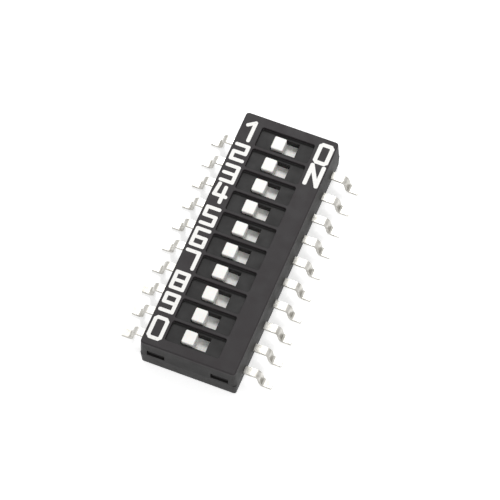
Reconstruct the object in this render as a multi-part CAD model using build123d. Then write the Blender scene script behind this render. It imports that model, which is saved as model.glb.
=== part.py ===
"""A ten-way slide DIP switch for surface mounting, on a half-pitch (1.27 mm) grid.

Ten white sliders stand in a row in a black housing. Each one carries a gilt spring contact,
which bridges two tinned leads when the slider is pushed to its ON side.

Frame: x runs across the row, with ON towards +x. y runs along the row, with switch 1 at the
+y end. z points up from the board, and the origin is the middle of the footprint on the board.
Every slider is drawn in its OFF place. All sizes are in millimetres.
"""

from build123d import *

import os
from math import radians, tan

# Row
positions = 10
pitch = 1.27
end_margin = 1.10  # middle of the first and last switch to the end of the top face

# Heights, stacked from the board up
board_gap = 0.12  # board to the underside of the base
base_thickness = 0.72  # underside of the base to the floor of the cells
contact_room = 0.41  # floor of a cell to the underside of its slider
plate_thickness = 0.34
slide_gap = 0.03  # play between a slider and the cover above it
roof_thickness = 0.40  # cover at the bottom of a well
well_depth = 0.18  # top face down to the bottom of a well

# Housing
body_width = 4.90  # across the top face
draft_angle = 2.5  # of the outer walls, in degrees, widest at the parting line
side_wall = 0.30
end_wall = 0.35
wall_gap = 0.03  # between the cover's walls and the base inside them
skirt_clearance = 0.15  # top of the leads up to the parting line
corner_radius = 0.16
top_edge_radius = 0.07
underside_chamfer = 0.08

# Wells, windows and cells
well_length = 2.78
rib_width = 0.15  # between neighbouring wells
well_corner_radius = 0.10
rim_radius = 0.03  # round the mouths of the wells and the windows
window_length = 1.28
window_width = 0.76
cell_end_gap = 0.08  # plate to the end of its cell, at either end of its travel
partition_width = 0.20  # between neighbouring cells
partition_gap = 0.04  # top of the partitions to the cover

# Sliders
knob_length = 0.62
knob_width = 0.70
knob_recess = 0.02  # top face down to the top of a knob
knob_corner_radius = 0.07
knob_rim_radius = 0.04
end_play = 0.01  # knob to the end of its window, at either end of its travel
window_cover = 0.26  # plate past the end of its window, at either end of its travel
plate_play = 0.06  # plate to the partition on each side
plate_corner_radius = 0.08
rail_thickness = 0.14
rail_gap = 0.03  # rail to the floor of the cell
boss_diameter = 0.28
boss_height = 0.12

# Spring contacts
contact_thickness = 0.06
contact_width = 0.50
contact_reach = 0.86  # middle of the slider to the spring's end bends
wiper_offset = 0.45  # middle of the slider to each wiper
wiper_tip = 0.21  # length of the turned-up tip past a wiper
wiper_gap = 0.02  # wiper to the pad below it
tip_rise = 0.06  # end of the turned-up tip above the wiper
arm_rise = 0.37  # share of the spring's height that its arms climb to the end bends
wiper_radius = 0.15
bend_radius = 0.09
boss_clearance = 0.01

# Leads
lead_thickness = 0.15
lead_width = 0.40
pad_width = 0.55  # inside the base
pad_anchor = 0.25  # wide part of a lead past the end of its cell
pad_overlap = 0.10  # left pad past the wiper that rests on it when ON
open_gap = 0.18  # right pad clear of the wiper beside it when OFF
lead_shoulder = 0.80  # side of the top face to the upper bend
lead_slope = 0.13  # outward run of the steep part
foot_length = 0.56  # lower bend to the tip
lead_bend_radius = 0.20  # at mid thickness
foot_corner_radius = 0.06
core_hole = 0.36  # square holes that the mould's pins leave below the leads
ejector_diameter = 0.90  # round marks that the mould's ejector pins leave underneath
ejector_depth = 0.04
ejector_spacing = 4 * pitch

# Snap catches at both ends
catch_spacing = 3.30
catch_width = 0.86
catch_height = 0.34
catch_rise = 0.17  # parting line up to the foot of a catch
catch_lip = 0.06  # upright tip of a catch
catch_recess = 0.06  # tip of a catch below the outside of the end wall
catch_gap = 0.03  # catch to the edges of its window

# Worked out from the sizes above
body_length = (positions - 1) * pitch + 2 * end_margin
floor_height = board_gap + base_thickness
plate_underside = floor_height + contact_room
plate_top = plate_underside + plate_thickness
ceiling = plate_top + slide_gap
well_floor = ceiling + roof_thickness
body_height = well_floor + well_depth
parting_height = floor_height + skirt_clearance
parting_growth = (body_height - parting_height) * tan(radians(draft_angle))
block_top = ceiling - partition_gap
travel = window_length - knob_length - 2 * end_play
off_place = -travel / 2
cell_width = pitch - partition_width
plate_length = window_length + travel + 2 * window_cover
cell_length = plate_length + travel + 2 * cell_end_gap
plate_width = cell_width - 2 * plate_play
block_width = body_width - 2 * (side_wall + wall_gap)
block_length = body_length - 2 * (end_wall + wall_gap)
left_pad_end = travel / 2 - wiper_offset + pad_overlap
right_pad_end = off_place + wiper_offset + open_gap
catch_foot = parting_height + catch_rise


def row_place(number):
    """y of the switch with this number, counted from 1."""
    return ((positions + 1) / 2 - number) * pitch


def at_each_switch(shape):
    """Copies of a shape, which is drawn at y = 0, at every switch in the row."""
    return [Pos(0, row_place(number + 1), 0) * shape for number in range(positions)]


def block(length_x, length_y, low, high, radius=0.0):
    """A straight block centred on x = y = 0 from one height to another."""
    outline = Rectangle(length_x, length_y)
    if radius:
        outline = fillet(outline.vertices(), radius)
    return Pos(0, 0, low) * extrude(outline, high - low)


def drafted_block(low, high, growth, taper):
    """The housing's outline, drawn down from one height to another with the draft of its walls.

    growth is how far the upper end stands past the top face on each side, and a positive
    taper narrows the block downwards.
    """
    outline = Rectangle(body_width + 2 * growth, body_length + 2 * growth)
    outline = fillet(outline.vertices(), corner_radius)
    return Pos(0, 0, high) * Rot(180, 0, 0) * extrude(outline, high - low, taper=taper)


def soften(body, height, length):
    """Rounds the rims of all mouths of this length in x that open at this height."""
    reach = (length + rim_radius) / 2
    level = body.edges().filter_by(lambda edge: abs(edge.center().Z - height) < rim_radius / 10)
    return fillet(level.filter_by(lambda edge: abs(edge.center().X) < reach), rim_radius)


def strip(points, radii, thickness, width):
    """A bent strip: its middle line is drawn in x and z, and its width runs along y."""
    middle = FilletPolyline(*points, radius=radii)
    profile = trace(middle, thickness)
    return extrude(Plane.XZ * profile, width / 2, both=True)


def catch(clearance=0.0):
    """One snap catch's wedge, drawn pointing along +y from the base's end face.

    With a clearance it is the opening for the catch, which goes right through the end wall.
    """
    reach = wall_gap + end_wall - catch_recess
    if clearance:
        return Pos(0, reach, 0) * block(
            catch_width + 2 * clearance,
            4 * reach,
            catch_foot - clearance,
            catch_foot + catch_height + clearance,
        )
    side = Polygon(
        (0, catch_foot),
        (reach, catch_foot),
        (reach, catch_foot + catch_lip),
        (0, catch_foot + catch_height),
        align=None,
    )
    return extrude(Plane.YZ * side, catch_width / 2, both=True)


def at_each_catch(shape):
    """Copies of a catch, or of the opening for one, at both corners of both ends."""
    placed = []
    for turn in (0, 180):
        for side in (-1, 1):
            spot = Pos(side * catch_spacing / 2, block_length / 2, 0)
            placed.append(Rot(0, 0, turn) * spot * shape)
    return placed


def cover():
    """The upper shell, with a well and a window above every slider."""
    body = drafted_block(parting_height, body_height, 0.0, -draft_angle)
    body = fillet(body.faces().sort_by(Axis.Z)[-1].edges(), top_edge_radius)
    inside = block(
        body_width - 2 * side_wall, body_length - 2 * end_wall, parting_height, ceiling
    )
    well = block(well_length, pitch - rib_width, well_floor, body_height, well_corner_radius)
    body -= at_each_switch(well)
    body = soften(body, body_height, well_length)
    window = block(window_length, window_width, ceiling, well_floor)
    body = body - inside - at_each_switch(window)
    body = soften(body, well_floor, window_length)
    return body - at_each_catch(catch(catch_gap))


def base(leads):
    """The lower tray, moulded round the leads, with a cell for every slider."""
    foot = drafted_block(board_gap, parting_height, parting_growth, draft_angle)
    foot = chamfer(foot.faces().sort_by(Axis.Z)[0].edges(), underside_chamfer)
    tray = foot + block(block_width, block_length, parting_height, block_top)
    tray += at_each_catch(catch())
    cell = block(cell_length, cell_width, floor_height, block_top)
    core = block(core_hole, core_hole, board_gap, floor_height - lead_thickness)
    cores = [Pos(side * cell_length / 2, 0, 0) * core for side in (-1, 1)]
    for pocket in [cell, *cores]:
        tray -= at_each_switch(pocket)
    for side in (-1, 0, 1):
        middle = Pos(0, side * ejector_spacing, board_gap + ejector_depth / 2)
        tray -= middle * Cylinder(ejector_diameter / 2, ejector_depth)
    return tray - leads


def slider():
    """One actuator: a knob on a plate that runs on two rails, drawn in its OFF place."""
    plate = block(plate_length, plate_width, plate_underside, plate_top, plate_corner_radius)
    knob_top = body_height - knob_recess
    knob = block(knob_length, knob_width, plate_top, knob_top, knob_corner_radius)
    knob = fillet(knob.faces().sort_by(Axis.Z)[-1].edges(), knob_rim_radius)
    rail = block(plate_length, rail_thickness, floor_height + rail_gap, plate_underside)
    rail_place = (plate_width - rail_thickness) / 2
    rails = [Pos(0, side * rail_place, 0) * rail for side in (-1, 1)]
    boss = Pos(0, 0, plate_underside - boss_height / 2) * Cylinder(boss_diameter / 2, boss_height)
    return Pos(off_place, 0, 0) * (plate + knob + rails + boss)


def contact():
    """One bridging spring: a flat back with both ends folded under it, each with a wiper."""
    back = plate_underside - contact_thickness / 2
    wiper = floor_height + wiper_gap + contact_thickness / 2
    arm = wiper + arm_rise * (back - wiper)
    half = [
        (wiper_offset - wiper_tip, wiper + tip_rise),
        (wiper_offset, wiper),
        (contact_reach, arm),
        (contact_reach, back),
    ]
    points = half + [(-x, z) for x, z in reversed(half)]
    radii = [wiper_radius, bend_radius, bend_radius]
    spring = strip(points, radii + radii[::-1], contact_thickness, contact_width)
    hole = Cylinder(boss_diameter / 2 + boss_clearance, contact_thickness)
    return Pos(off_place, 0, 0) * (spring - Pos(0, 0, back) * hole)


def lead(side, pad_end):
    """One lead: a pad in its cell, a straight run out through the base, and a gull-wing foot.

    side is -1 on the left and 1 on the right, and pad_end is the x of the pad's inner end.
    """
    middle = floor_height - lead_thickness / 2
    shoulder = body_width / 2 + lead_shoulder
    heel = shoulder + lead_slope
    tip = heel + foot_length
    inner = side * pad_end
    points = [
        (inner, middle),
        (shoulder, middle),
        (heel, lead_thickness / 2),
        (tip, lead_thickness / 2),
    ]
    wing = strip(points, lead_bend_radius, lead_thickness, lead_width)
    tip_edges = wing.edges().filter_by(Axis.Z).group_by(Axis.X)[-1]
    wing = fillet(tip_edges, foot_corner_radius)
    pad_length = cell_length / 2 + pad_anchor - inner
    pad = block(pad_length, pad_width, floor_height - lead_thickness, floor_height)
    shape = wing + Pos(inner + pad_length / 2, 0, 0) * pad
    return shape if side > 0 else mirror(shape, about=Plane.YZ)


def main():
    """Builds every piece and writes each one to its own STEP file."""
    os.makedirs("parts", exist_ok=True)
    left_leads = at_each_switch(lead(-1, left_pad_end))
    right_leads = at_each_switch(lead(1, right_pad_end))
    pieces = {"cover": cover(), "base": base(left_leads + right_leads)}
    rows = {
        "slider": at_each_switch(slider()),
        "contact": at_each_switch(contact()),
        "lead_left": left_leads,
        "lead_right": right_leads,
    }
    for name, row in rows.items():
        for number, piece in enumerate(row, start=1):
            pieces[f"{name}_{number}"] = piece
    for name, piece in pieces.items():
        export_step(piece, f"parts/{name}.step")


main()
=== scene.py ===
"""The looks of a ten-way surface-mount DIP switch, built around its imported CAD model.

The CAD nodes keep their shapes and are dressed in procedural finishes. The pad-printed
numbers and the word ON are added as thin films of ink that ride on the housing.
"""

from __future__ import annotations

import logging
import math
from dataclasses import dataclass, field
from enum import Enum
from typing import ClassVar

import bpy
from mathutils import Euler, Matrix, Vector

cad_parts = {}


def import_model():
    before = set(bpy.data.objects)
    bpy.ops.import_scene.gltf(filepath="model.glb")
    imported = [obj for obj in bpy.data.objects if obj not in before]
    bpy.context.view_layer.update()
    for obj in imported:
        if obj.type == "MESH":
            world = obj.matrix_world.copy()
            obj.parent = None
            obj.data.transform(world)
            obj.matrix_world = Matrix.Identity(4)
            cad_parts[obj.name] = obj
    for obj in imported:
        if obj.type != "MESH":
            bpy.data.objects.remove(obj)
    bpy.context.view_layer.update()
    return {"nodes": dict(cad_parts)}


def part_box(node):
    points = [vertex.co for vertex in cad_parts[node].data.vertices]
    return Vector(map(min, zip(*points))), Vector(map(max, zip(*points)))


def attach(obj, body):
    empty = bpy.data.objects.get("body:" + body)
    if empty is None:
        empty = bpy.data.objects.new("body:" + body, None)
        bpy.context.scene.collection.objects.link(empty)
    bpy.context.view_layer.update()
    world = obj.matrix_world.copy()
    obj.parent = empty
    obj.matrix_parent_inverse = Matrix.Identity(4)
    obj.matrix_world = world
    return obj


LOG = logging.getLogger("dip_switch")
MM = 0.001
SWITCHES = 10
COVER_LEAN = 0.05  # about how far the cover's end leans in, from its widest to the top face, in mm

# A noise pattern keeps mostly between these values, from 0 to 1.
NOISE_LOW, NOISE_HIGH = 0.3, 0.7

Link = tuple[bpy.types.Node, str]
Point = tuple[float, float]
Place = tuple[float, float, float]


class Body(Enum):
    """The rigid body that the ink rides on."""

    HOUSING = "housing"


class Slot(Enum):
    """The record's material slot for what is printed."""

    INK = "legend_ink"


class Kind(Enum):
    """What a CAD node is, which is the first word of its name."""

    COVER = "cover"
    BASE = "base"
    SLIDER = "slider"
    CONTACT = "contact"
    LEAD = "lead"


def linear(hex_colour: str) -> tuple[float, float, float, float]:
    """Turns an sRGB hex colour into a linear one with full alpha.

    Args:
        hex_colour: Six hex digits, such as "2b2a2c".

    Returns:
        Red, green, blue and alpha, from 0 to 1.
    """
    values = [int(hex_colour[start : start + 2], 16) / 255 for start in (0, 2, 4)]
    red, green, blue = (
        value / 12.92 if value <= 0.04045 else ((value + 0.055) / 1.055) ** 2.4 for value in values
    )
    return red, green, blue, 1.0


def per_metre(size_mm: float) -> float:
    """The scale that makes a pattern's features this many millimetres across."""
    return 1 / (size_mm * MM)


def add_node(
    owner: bpy.types.Material | bpy.types.World,
    kind: str,
    links: dict[str, Link] | None = None,
    **settings: object,
) -> bpy.types.Node:
    """Adds a shader node, with its settings and the links into it.

    Args:
        owner: The material or world whose tree gets the node.
        kind: The node's type, without the "ShaderNode" in front.
        links: For each input socket, the node and output socket that feed it.
        settings: Node properties, or values of input sockets with underscores for spaces.

    Returns:
        The new node.
    """
    tree = owner.node_tree
    node = tree.nodes.new("ShaderNode" + kind)
    for name, value in settings.items():
        if hasattr(node, name):
            setattr(node, name, value)
        else:
            node.inputs[name.replace("_", " ")].default_value = value
    for name, (source, output) in (links or {}).items():
        socket = node.inputs[int(name)] if name.isdigit() else node.inputs[name]
        tree.links.new(source.outputs[output], socket)
    return node


def new_material(name: str) -> bpy.types.Material:
    """Makes an empty node material.

    Args:
        name: The material's name.

    Returns:
        The material, with no nodes in its tree.
    """
    material = bpy.data.materials.new(name)
    material.use_nodes = True
    material.node_tree.nodes.clear()
    return material


def seen_rays(owner: bpy.types.Material | bpy.types.World) -> Link:
    """Adds nodes that find the rays which show the background, seen straight, mirrored or through glass.

    Args:
        owner: The material or world whose tree gets the nodes.

    Returns:
        The node and output socket that hold 1 for such a ray and 0 for any other.
    """
    rays = add_node(owner, "LightPath")
    mirrored = add_node(
        owner,
        "Math",
        {"0": (rays, "Is Glossy Ray"), "1": (rays, "Is Transmission Ray")},
        operation="MAXIMUM",
    )
    seen = add_node(
        owner, "Math", {"0": (rays, "Is Camera Ray"), "1": (mirrored, "Value")}, operation="MAXIMUM"
    )
    return seen, "Value"


def dress(piece: bpy.types.Object, material: bpy.types.Material) -> None:
    """Gives a piece one material, in every slot that it has.

    Args:
        piece: The piece to dress.
        material: Its material.
    """
    if not piece.material_slots:
        piece.data.materials.append(material)
    for material_slot in piece.material_slots:
        material_slot.material = material


@dataclass(frozen=True)
class MouldedPlastic:
    """An injection-moulded thermoplastic, with the fine texture of its mould and a slightly uneven shade.

    The mottle starts and is full at these values of its noise. Where a recess colour is given, it
    takes over below the recess height, blending over a small way above and below it. This is painted
    shade: it darkens the wells as the shade in them would.
    """

    name: str
    base: str
    mottle: str
    roughness: float
    roughness_spread: float
    mottle_size_mm: float
    texture_size_mm: float
    texture_depth_mm: float
    ior: float
    mottle_start: float = 0.35
    mottle_full: float = 0.75
    translucency: float = 0.0
    light_depth_mm: float = 0.15
    painted_well_shade: str | None = None
    recess_height_mm: float = 2.035
    recess_blend_mm: float = 0.01

    def material(self) -> bpy.types.Material:
        """Builds the node tree of this plastic.

        Returns:
            The new material.
        """
        material = new_material(self.name)
        place = add_node(material, "TexCoord")
        spot: Link = (place, "Object")
        mottle = add_node(
            material,
            "TexNoise",
            {"Vector": spot},
            Scale=per_metre(self.mottle_size_mm),
            Detail=5.0,
            Roughness=0.6,
        )
        shades = add_node(material, "ValToRGB", {"Fac": (mottle, "Fac")})
        shades.color_ramp.elements[0].position = self.mottle_start
        shades.color_ramp.elements[0].color = linear(self.base)
        shades.color_ramp.elements[1].position = self.mottle_full
        shades.color_ramp.elements[1].color = linear(self.mottle)
        colour: Link = (shades, "Color")
        # Painted shade: below the recess height the colour turns to the darker well colour, for the shade in
        # the wells.
        if self.painted_well_shade:
            height = add_node(material, "SeparateXYZ", {"Vector": spot})
            raised = add_node(
                material,
                "MapRange",
                {"Value": (height, "Z")},
                From_Min=(self.recess_height_mm - self.recess_blend_mm) * MM,
                From_Max=(self.recess_height_mm + self.recess_blend_mm) * MM,
            )
            painted_shade_mix = add_node(
                material,
                "Mix",
                {"Factor": (raised, "Result"), "B": (shades, "Color")},
                data_type="RGBA",
                A=linear(self.painted_well_shade),
            )
            colour = (painted_shade_mix, "Result")
        sheen_patches = add_node(
            material,
            "MapRange",
            {"Value": (mottle, "Fac")},
            From_Min=NOISE_LOW,
            From_Max=NOISE_HIGH,
            To_Min=self.roughness - self.roughness_spread,
            To_Max=self.roughness + self.roughness_spread,
        )
        texture = add_node(
            material,
            "TexNoise",
            {"Vector": spot},
            Scale=per_metre(self.texture_size_mm),
            Detail=3.0,
            Roughness=0.55,
        )
        bump = add_node(
            material, "Bump", {"Height": (texture, "Fac")}, Distance=self.texture_depth_mm * MM, Strength=1.0
        )
        shader = add_node(
            material,
            "BsdfPrincipled",
            {
                "Base Color": colour,
                "Roughness": (sheen_patches, "Result"),
                "Normal": (bump, "Normal"),
            },
            IOR=self.ior,
            Subsurface_Weight=self.translucency,
            Subsurface_Scale=self.light_depth_mm * MM,
        )
        add_node(material, "OutputMaterial", {"Surface": (shader, "BSDF")})
        return material


@dataclass(frozen=True)
class PlatedMetal:
    """A thin electroplate over rolled strip, with the grain of the plating and the strip's rolling lines.

    The shade drifts in clouds, which are tarnished below one value of their noise and clean above
    another. The strip runs along x, and the rolling lines are drawn out that way.
    """

    name: str
    plate: str
    tarnish: str
    roughness: float
    roughness_spread: float
    grain_size_mm: float
    grain_depth_mm: float
    rolling_size_mm: float
    grains_across_cloud: float = 6.0
    tarnished_below: float = 0.3
    clean_above: float = 0.62
    drawn_out: float = 0.08

    def material(self) -> bpy.types.Material:
        """Builds the node tree of this plated strip.

        Returns:
            The new material.
        """
        material = new_material(self.name)
        place = add_node(material, "TexCoord")
        spot: Link = (place, "Object")
        cloud = add_node(
            material,
            "TexNoise",
            {"Vector": spot},
            Scale=per_metre(self.grain_size_mm * self.grains_across_cloud),
            Detail=4.0,
            Roughness=0.6,
        )
        shades = add_node(material, "ValToRGB", {"Fac": (cloud, "Fac")})
        shades.color_ramp.elements[0].position = self.tarnished_below
        shades.color_ramp.elements[0].color = linear(self.tarnish)
        shades.color_ramp.elements[1].position = self.clean_above
        shades.color_ramp.elements[1].color = linear(self.plate)
        dullness = add_node(
            material,
            "MapRange",
            {"Value": (cloud, "Fac")},
            From_Min=NOISE_LOW,
            From_Max=NOISE_HIGH,
            To_Min=self.roughness + self.roughness_spread,
            To_Max=self.roughness - self.roughness_spread,
        )
        along = add_node(material, "Mapping", {"Vector": spot}, Scale=(self.drawn_out, 1.0, 1.0))
        rolling = add_node(
            material,
            "TexNoise",
            {"Vector": (along, "Vector")},
            Scale=per_metre(self.rolling_size_mm),
            Detail=2.0,
        )
        grain = add_node(
            material, "TexNoise", {"Vector": spot}, Scale=per_metre(self.grain_size_mm), Detail=3.0
        )
        relief = add_node(
            material,
            "Math",
            {"0": (rolling, "Fac"), "1": (grain, "Fac")},
            operation="ADD",
        )
        bump = add_node(
            material, "Bump", {"Height": (relief, "Value")}, Distance=self.grain_depth_mm * MM, Strength=1.0
        )
        shader = add_node(
            material,
            "BsdfPrincipled",
            {
                "Base Color": (shades, "Color"),
                "Roughness": (dullness, "Result"),
                "Normal": (bump, "Normal"),
            },
            Metallic=1.0,
        )
        add_node(material, "OutputMaterial", {"Surface": (shader, "BSDF")})
        return material


@dataclass(frozen=True)
class PrintedInk:
    """White two-part epoxy ink, pad-printed and baked.

    It is opaque and satin, and a little greyer where the film is thin and the black shows through.
    The real thin spots are a few hundredths of a millimetre, and are drawn coarser so that they show.
    The film is thin below one value of its noise and full above another.
    """

    name: str = "pad_printed_white_ink"
    white: str = "f4f3f0"
    thin: str = "cfcecb"
    roughness: float = 0.5
    ior: float = 1.48
    thin_spot_size_mm: float = 0.11
    thin_below: float = 0.28
    full_above: float = 0.42
    relief_mm: float = 0.003

    def material(self) -> bpy.types.Material:
        """Builds the node tree of the ink.

        Returns:
            The new material.
        """
        material = new_material(self.name)
        place = add_node(material, "TexCoord")
        cover = add_node(
            material,
            "TexNoise",
            {"Vector": (place, "Object")},
            Scale=per_metre(self.thin_spot_size_mm),
            Detail=4.0,
            Roughness=0.65,
        )
        shades = add_node(material, "ValToRGB", {"Fac": (cover, "Fac")})
        shades.color_ramp.elements[0].position = self.thin_below
        shades.color_ramp.elements[0].color = linear(self.thin)
        shades.color_ramp.elements[1].position = self.full_above
        shades.color_ramp.elements[1].color = linear(self.white)
        bump = add_node(
            material, "Bump", {"Height": (cover, "Fac")}, Distance=self.relief_mm * MM, Strength=1.0
        )
        shader = add_node(
            material,
            "BsdfPrincipled",
            {"Base Color": (shades, "Color"), "Normal": (bump, "Normal")},
            Roughness=self.roughness,
            IOR=self.ior,
        )
        add_node(material, "OutputMaterial", {"Surface": (shader, "BSDF")})
        return material


# Charcoal-black glass-filled polyamide, moulded in a spark-eroded tool. The tool leaves a fine satin
# texture, and fibres near the skin lighten it in soft patches. The wells are coloured darker than the
# top, a painted shade that stands in for the shade in them. The true texture is about 0.01 mm across,
# too fine to show, and is drawn between four and five times coarser. The texture scatters part of the
# gloss, so the IOR is set lower than polyamide's.
HOUSING_PLASTIC = MouldedPlastic(
    name="glass_filled_polyamide_charcoal",
    base="181416",
    mottle="241f21",
    roughness=0.6,
    roughness_spread=0.06,
    mottle_size_mm=0.7,
    texture_size_mm=0.045,
    texture_depth_mm=0.004,
    ior=1.42,
    # The darker colour of the wells is painted shade.
    painted_well_shade="0a0808",
)

# White acetal, moulded in a polished tool: smooth and slightly waxy, with a soft sheen, and a little
# light passes through its edges. Its flow marks are too faint to show and are drawn as a slight
# change of shade, half a millimetre across.
SLIDER_PLASTIC = MouldedPlastic(
    name="acetal_white",
    base="efeeea",
    mottle="f6f5f2",
    roughness=0.38,
    roughness_spread=0.04,
    mottle_size_mm=0.5,
    texture_size_mm=0.06,
    texture_depth_mm=0.002,
    ior=1.48,
    translucency=0.08,
)

# Matt tin, electroplated over stamped copper-alloy strip: bright but not mirror-like, with a grain
# and a clouded shade that is greyer where the strip was bent and handled. The real grain is a few
# thousandths of a millimetre, too fine to show, and is drawn ten times coarser.
TIN_PLATE = PlatedMetal(
    name="matt_tin_plate",
    plate="cbc9c4",
    tarnish="a3a19a",
    roughness=0.34,
    roughness_spread=0.05,
    grain_size_mm=0.05,
    grain_depth_mm=0.0002,
    rolling_size_mm=0.06,
)

# Hard gold, electroplated over beryllium-copper strip: warm, smoother than the tin, with faint
# rolling lines along the strip. The lines are drawn coarser than the real ones, which are too fine.
GOLD_PLATE = PlatedMetal(
    name="hard_gold_plate",
    plate="f0c878",
    tarnish="dcae5c",
    roughness=0.22,
    roughness_spread=0.05,
    grain_size_mm=0.03,
    grain_depth_mm=0.0008,
    rolling_size_mm=0.04,
)

FINISHES = {
    Kind.COVER: HOUSING_PLASTIC,
    Kind.BASE: HOUSING_PLASTIC,
    Kind.SLIDER: SLIDER_PLASTIC,
    Kind.CONTACT: GOLD_PLATE,
    Kind.LEAD: TIN_PLATE,
}


class Workbench:
    """Modelling by operators, in millimetres, with every finished piece left at the origin in metres.

    The operators merge and round at about a micrometre, so small work is done a thousand times up.
    """

    corner_segments: ClassVar[int] = 4
    merge_distance: ClassVar[float] = 0.0001
    smooth_angle: ClassVar[float] = 35.0

    @staticmethod
    def clear() -> None:
        """Deselects everything."""
        bpy.ops.object.select_all(action="DESELECT")

    @staticmethod
    def hold(piece: bpy.types.Object) -> None:
        """Selects one piece alone and makes it the active one.

        Args:
            piece: The piece that the next operators work on.
        """
        Workbench.clear()
        piece.select_set(True)
        bpy.context.view_layer.objects.active = piece

    @staticmethod
    def slab(centre: Vector, size: Vector, turn: float, corner: float) -> bpy.types.Object:
        """Makes a flat slab with rounded upright corners.

        Args:
            centre: Its middle, in millimetres.
            size: Its length, width and thickness.
            turn: How far its length is turned from x about z, in radians.
            corner: The radius of its upright corners.

        Returns:
            The new object, with its place in its mesh.
        """
        Workbench.clear()
        bpy.ops.mesh.primitive_cube_add(size=1.0)
        piece = bpy.context.object
        piece.data.transform(Matrix.Diagonal((*size, 1.0)))
        bpy.context.tool_settings.mesh_select_mode = (False, True, False)
        piece.data.polygons.foreach_set("select", [False] * len(piece.data.polygons))
        piece.data.vertices.foreach_set("select", [False] * len(piece.data.vertices))
        for edge in piece.data.edges:
            low, high = (piece.data.vertices[index].co for index in edge.vertices)
            edge.select = abs(low.z - high.z) > size.z / 2
        bpy.ops.object.mode_set(mode="EDIT")
        bpy.ops.mesh.bevel(offset=corner, segments=Workbench.corner_segments, affect="EDGES")
        bpy.ops.object.mode_set(mode="OBJECT")
        piece.data.transform(Matrix.Translation(centre) @ Euler((0.0, 0.0, turn)).to_matrix().to_4x4())
        return piece

    @staticmethod
    def unite(slabs: list[bpy.types.Object], name: str) -> bpy.types.Object:
        """Joins overlapping slabs into one closed skin.

        Args:
            slabs: The slabs, of which the first becomes the piece.
            name: The piece's name.

        Returns:
            The first slab, which now holds all of them.
        """
        piece = slabs[0]
        for other in slabs[1:]:
            Workbench.hold(piece)
            union = piece.modifiers.new("union", "BOOLEAN")
            union.operation, union.solver, union.object = "UNION", "EXACT", other
            bpy.ops.object.modifier_apply(modifier=union.name)
            bpy.data.objects.remove(other)
        piece.name = piece.data.name = name
        return piece

    @staticmethod
    def settle(piece: bpy.types.Object) -> bpy.types.Object:
        """Merges a piece's doubles, turns its faces outwards and brings it from millimetres to metres.

        Args:
            piece: The piece, in millimetres.

        Returns:
            The same piece, in metres and smooth over its gentle edges.
        """
        Workbench.hold(piece)
        bpy.ops.object.mode_set(mode="EDIT")
        bpy.ops.mesh.select_all(action="SELECT")
        bpy.ops.mesh.remove_doubles(threshold=Workbench.merge_distance)
        bpy.ops.mesh.normals_make_consistent(inside=False)
        bpy.ops.object.mode_set(mode="OBJECT")
        piece.data.transform(Matrix.Scale(MM, 4))
        bpy.ops.object.shade_smooth_by_angle(angle=math.radians(Workbench.smooth_angle))
        return piece


@dataclass(frozen=True)
class Glyph:
    """One printed character, as straight strokes in a box of size 1 by 1.

    The height is in millimetres. The shift and the rise are how far its middle stands from its
    place in x and in y.
    """

    name: str
    strokes: tuple[tuple[Point, Point], ...]
    height: float = 1.10
    rise: float = 0.07
    shift: float = 0.0


# The sides and middles of a character's box, the strokes that most characters share, and how far the
# round ones have their corners cut off.
LEFT, MIDDLE, RIGHT = 0.0, 0.5, 1.0
BOTTOM, CENTRE, TOP = 0.0, 0.5, 1.0
CUT_ACROSS, CUT_UP = 0.16, 0.09
TOP_BAR = ((LEFT, TOP), (RIGHT, TOP))
CENTRE_BAR = ((LEFT, CENTRE), (RIGHT, CENTRE))
BOTTOM_BAR = ((LEFT, BOTTOM), (RIGHT, BOTTOM))
UPPER_LEFT = ((LEFT, CENTRE), (LEFT, TOP))
UPPER_RIGHT = ((RIGHT, CENTRE), (RIGHT, TOP))
LOWER_LEFT = ((LEFT, BOTTOM), (LEFT, CENTRE))
LOWER_RIGHT = ((RIGHT, BOTTOM), (RIGHT, CENTRE))
WHOLE_LEFT = ((LEFT, BOTTOM), (LEFT, TOP))
WHOLE_RIGHT = ((RIGHT, BOTTOM), (RIGHT, TOP))
RING = (TOP_BAR, BOTTOM_BAR, WHOLE_LEFT, WHOLE_RIGHT)
CUT_RING = (
    ((CUT_ACROSS, TOP), (RIGHT - CUT_ACROSS, TOP)),
    ((CUT_ACROSS, BOTTOM), (RIGHT - CUT_ACROSS, BOTTOM)),
    ((LEFT, CUT_UP), (LEFT, TOP - CUT_UP)),
    ((RIGHT, CUT_UP), (RIGHT, TOP - CUT_UP)),
    ((LEFT, TOP - CUT_UP), (CUT_ACROSS, TOP)),
    ((RIGHT - CUT_ACROSS, TOP), (RIGHT, TOP - CUT_UP)),
    ((LEFT, CUT_UP), (CUT_ACROSS, BOTTOM)),
    ((RIGHT - CUT_ACROSS, BOTTOM), (RIGHT, CUT_UP)),
)

# The strokes of 1 and 4 that no other character has. The bar of the 4 is low, and its stem stands
# inside its right side.
FLAG = ((0.45, 0.78), (RIGHT, TOP))
BAR_OF_FOUR, STEM_OF_FOUR = 0.36, 0.72
FOUR = (
    ((STEM_OF_FOUR, BOTTOM), (STEM_OF_FOUR, 0.88)),
    ((LEFT, BAR_OF_FOUR), (RIGHT, BAR_OF_FOUR)),
    ((LEFT, BAR_OF_FOUR), (0.12, TOP)),
)

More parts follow.
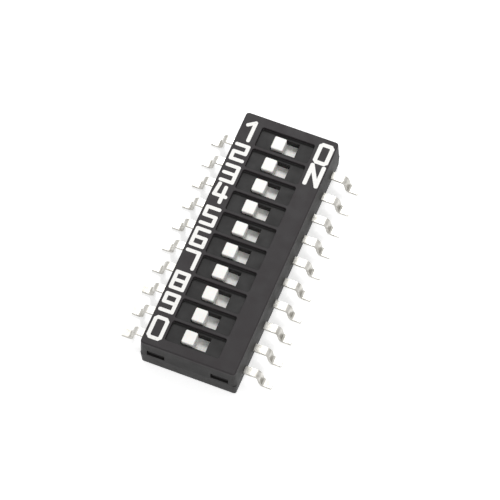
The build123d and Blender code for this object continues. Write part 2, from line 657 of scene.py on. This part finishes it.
NUMBERS = (
    Glyph("1", (WHOLE_RIGHT, FLAG), height=1.25, rise=0.11, shift=-0.17),
    Glyph("2", (TOP_BAR, UPPER_RIGHT, CENTRE_BAR, LOWER_LEFT, BOTTOM_BAR), height=1.04),
    Glyph("3", (TOP_BAR, WHOLE_RIGHT, CENTRE_BAR, BOTTOM_BAR), height=1.08),
    Glyph("4", FOUR, height=1.18, rise=0.17),
    Glyph("5", (TOP_BAR, UPPER_LEFT, CENTRE_BAR, LOWER_RIGHT, BOTTOM_BAR), height=1.12),
    Glyph("6", (TOP_BAR, WHOLE_LEFT, CENTRE_BAR, LOWER_RIGHT, BOTTOM_BAR)),
    Glyph("7", (TOP_BAR, WHOLE_RIGHT)),
    Glyph("8", (*RING, CENTRE_BAR), height=1.06),
    Glyph("9", (TOP_BAR, UPPER_LEFT, CENTRE_BAR, WHOLE_RIGHT, BOTTOM_BAR)),
    Glyph("0", CUT_RING, height=1.30, rise=-0.11),
)
LETTER_O = Glyph("on_o", CUT_RING, height=1.22)
LETTER_N = Glyph("on_n", (WHOLE_LEFT, WHOLE_RIGHT, ((LEFT, TOP), (RIGHT, BOTTOM))), height=1.28)


@dataclass
class Legend:
    """The pad-printed numbers on the left of the row, and the word ON beside switch 1.

    Sizes are in millimetres, and heights run along y, as the characters stand. The ink stands above
    the top face by its film and is sunk a little into it, so that no face of the two coincides. Each
    stroke of a character is a step smaller than the one before. The end gap is from the end of the
    top face to the first letter.
    """

    number_width: float = 0.80
    number_stroke: float = 0.19
    number_centre_x: float = -1.92
    letter_width: float = 0.80
    letter_stroke: float = 0.21
    letter_centre_x: float = 1.97
    letter_gap: float = 0.02
    letter_end_gap: float = 0.28
    film: float = 0.005
    sunk: float = 0.007
    step: float = 0.0012
    corner: float = 0.085
    pieces: list[bpy.types.Object] = field(default_factory=list)

    def print_glyph(self, glyph: Glyph, centre: Vector, width: float, stroke: float) -> None:
        """Prints one character.

        Each stroke is a hair smaller than the one before, so that no two of them share a face.

        Args:
            glyph: The character.
            centre: The middle of its box on the top face, in millimetres.
            width: The box's width, over the strokes.
            stroke: The width of a stroke.
        """
        slabs = []
        spread = Vector((width - stroke, glyph.height - stroke))
        for number, (start, end) in enumerate(glyph.strokes):
            less = number * self.step
            low, high = (
                Vector(((across - MIDDLE) * spread.x, (up - CENTRE) * spread.y))
                for across, up in (start, end)
            )
            run = high - low
            middle = (low + high) / 2
            slabs.append(
                Workbench.slab(
                    centre + Vector((middle.x, middle.y, (self.film - self.sunk) / 2)),
                    Vector((run.length + stroke - less, stroke - less, self.film + self.sunk - less / 2)),
                    math.atan2(run.y, run.x),
                    self.corner,
                )
            )
        piece = Workbench.settle(Workbench.unite(slabs, "legend_" + glyph.name))
        self.pieces.append(piece)

    def build(self, row: list[float], top: float, far_end: float) -> None:
        """Prints every number and both letters.

        Args:
            row: The y of each switch, from 1 to 10, in millimetres.
            top: The height of the cover's top face.
            far_end: The y of the end of the top face beside switch 1.
        """
        for glyph, place in zip(NUMBERS, row):
            centre = Vector((self.number_centre_x + glyph.shift, place + glyph.rise, top))
            self.print_glyph(glyph, centre, self.number_width, self.number_stroke)
        upper = far_end - self.letter_end_gap
        for glyph in (LETTER_O, LETTER_N):
            centre = Vector((self.letter_centre_x, upper - glyph.height / 2, top))
            self.print_glyph(glyph, centre, self.letter_width, self.letter_stroke)
            upper -= glyph.height + self.letter_gap

    def dress(self) -> None:
        """Inks the characters and fixes them to the housing."""
        ink = PrintedInk().material()
        for piece in self.pieces:
            dress(piece, ink)
            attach(piece, Body.HOUSING.value)


@dataclass
class CadPieces:
    """The CAD nodes, which keep their shape and are dressed by what they are made of."""

    nodes: dict[str, bpy.types.Object]

    def dress(self) -> None:
        """Gives each node the finish of its kind."""
        made = {finish: finish.material() for finish in dict.fromkeys(FINISHES.values())}
        for name, piece in self.nodes.items():
            dress(piece, made[FINISHES[Kind(name.split("_")[0])]])

    def row(self) -> list[float]:
        """The y of each switch, from 1 to 10, in millimetres."""
        corners = [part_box(f"slider_{number}") for number in range(1, SWITCHES + 1)]
        return [(low.y + high.y) / 2 / MM for low, high in corners]


@dataclass(frozen=True)
class Lamp:
    """A square soft lamp that faces the origin.

    Its place and side are in millimetres, and its power is in watts.
    """

    name: str
    place: Place
    side: float
    power: float

    def hang(self) -> None:
        """Adds the lamp to the scene."""
        light = bpy.data.lights.new(self.name, "AREA")
        light.shape, light.size, light.energy = "SQUARE", self.side * MM, self.power
        lamp = bpy.data.objects.new(self.name, light)
        lamp.location = Vector(self.place) * MM
        lamp.rotation_euler = Vector(self.place).to_track_quat("Z", "Y").to_euler()
        bpy.context.scene.collection.objects.link(lamp)


@dataclass
class Studio:
    """A white table, the sky, soft lamps and the camera, with sizes in millimetres and turns in degrees.

    The camera aims a little to the right of the origin and above it, in its own view. The table
    stands a hair below the feet of the leads.
    """

    azimuth: float = 23.9
    elevation: float = 62.5
    roll: float = -2.0
    distance: float = 160.0
    view_width: float = 24.56
    aim_right: float = 0.40
    aim_up: float = 0.57
    sensor: float = 36.0
    clip_near: float = 5.0
    clip_far: float = 5000.0
    table_side: float = 3000.0
    table_drop: float = 0.02
    sky: float = 0.50
    lamps: tuple[Lamp, ...] = (
        Lamp("key", (-12.0, 78.0, 105.0), 36.0, 0.080),
        Lamp("fill", (60.0, -90.0, 60.0), 60.0, 0.046),
    )

    def camera(self) -> None:
        """Places the camera on its long lens."""
        azimuth, elevation = math.radians(self.azimuth), math.radians(self.elevation)
        right = Vector((math.cos(azimuth), math.sin(azimuth), 0.0))
        back = Vector(
            (
                math.sin(azimuth) * math.cos(elevation),
                -math.cos(azimuth) * math.cos(elevation),
                math.sin(elevation),
            )
        )
        up = back.cross(right)
        lens = bpy.data.cameras.new("camera")
        lens.sensor_width = self.sensor
        lens.lens = self.sensor * self.distance / self.view_width
        lens.clip_start, lens.clip_end = self.clip_near * MM, self.clip_far * MM
        camera = bpy.data.objects.new("camera", lens)
        bpy.context.scene.collection.objects.link(camera)
        turn = Matrix((right, up, back)).transposed() @ Matrix.Rotation(math.radians(self.roll), 3, "Z")
        place = (turn @ Vector((self.aim_right, self.aim_up, self.distance))) * MM
        camera.matrix_world = Matrix.Translation(place) @ turn.to_4x4()
        bpy.context.scene.camera = camera

    def table(self) -> None:
        """Lays the table, which shows white to the camera and in reflections but keeps its shadow."""
        Workbench.clear()
        place = (0.0, 0.0, -self.table_drop * MM)
        bpy.ops.mesh.primitive_plane_add(size=self.table_side * MM, location=place)
        table = bpy.context.object
        table.name = "table"
        # Matt white card: it scatters light evenly, so the shadow on it is soft and plain.
        material = new_material("white_card")
        lit = add_node(material, "BsdfDiffuse", Color=linear("f2f2f2"))
        glow = add_node(material, "Emission", {"Strength": seen_rays(material)}, Color=linear("c6c6c6"))
        both = add_node(material, "AddShader", {"0": (lit, "BSDF"), "1": (glow, "Emission")})
        add_node(material, "OutputMaterial", {"Surface": (both, "Shader")})
        dress(table, material)

    def world(self) -> None:
        """A plain sky that lights evenly and shows white to the camera and in reflections."""
        world = bpy.data.worlds.new("sky")
        world.use_nodes = True
        world.node_tree.nodes.clear()
        bpy.context.scene.world = world
        strength = add_node(world, "MapRange", {"Value": seen_rays(world)}, To_Min=self.sky, To_Max=1.0)
        sky = add_node(world, "Background", {"Strength": (strength, "Result")}, Color=linear("ffffff"))
        add_node(world, "OutputWorld", {"Surface": (sky, "Background")})

    def build(self) -> None:
        """Sets up the whole studio."""
        bpy.context.scene.view_settings.view_transform = "Standard"
        self.camera()
        self.table()
        self.world()
        for lamp in self.lamps:
            lamp.hang()


def report(pieces: list[bpy.types.Object]) -> None:
    """Logs the name, the material and the number of faces of each piece.

    Args:
        pieces: The finished pieces.
    """
    for piece in pieces:
        faces = len(piece.data.polygons)
        LOG.info("%s: %s, %d faces", piece.name, piece.active_material.name, faces)


def main() -> None:
    """Builds the looks around the CAD model and reports each piece."""
    logging.basicConfig(level=logging.INFO, format="%(name)s: %(message)s")
    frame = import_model()
    cad = CadPieces(frame["nodes"])
    cad.dress()
    cover_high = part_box("cover")[1]
    legend = Legend()
    legend.build(cad.row(), cover_high.z / MM, cover_high.y / MM - COVER_LEAN)
    legend.dress()
    Studio().build()
    report([*cad.nodes.values(), *legend.pieces])


if __name__ == "__main__":
    main()
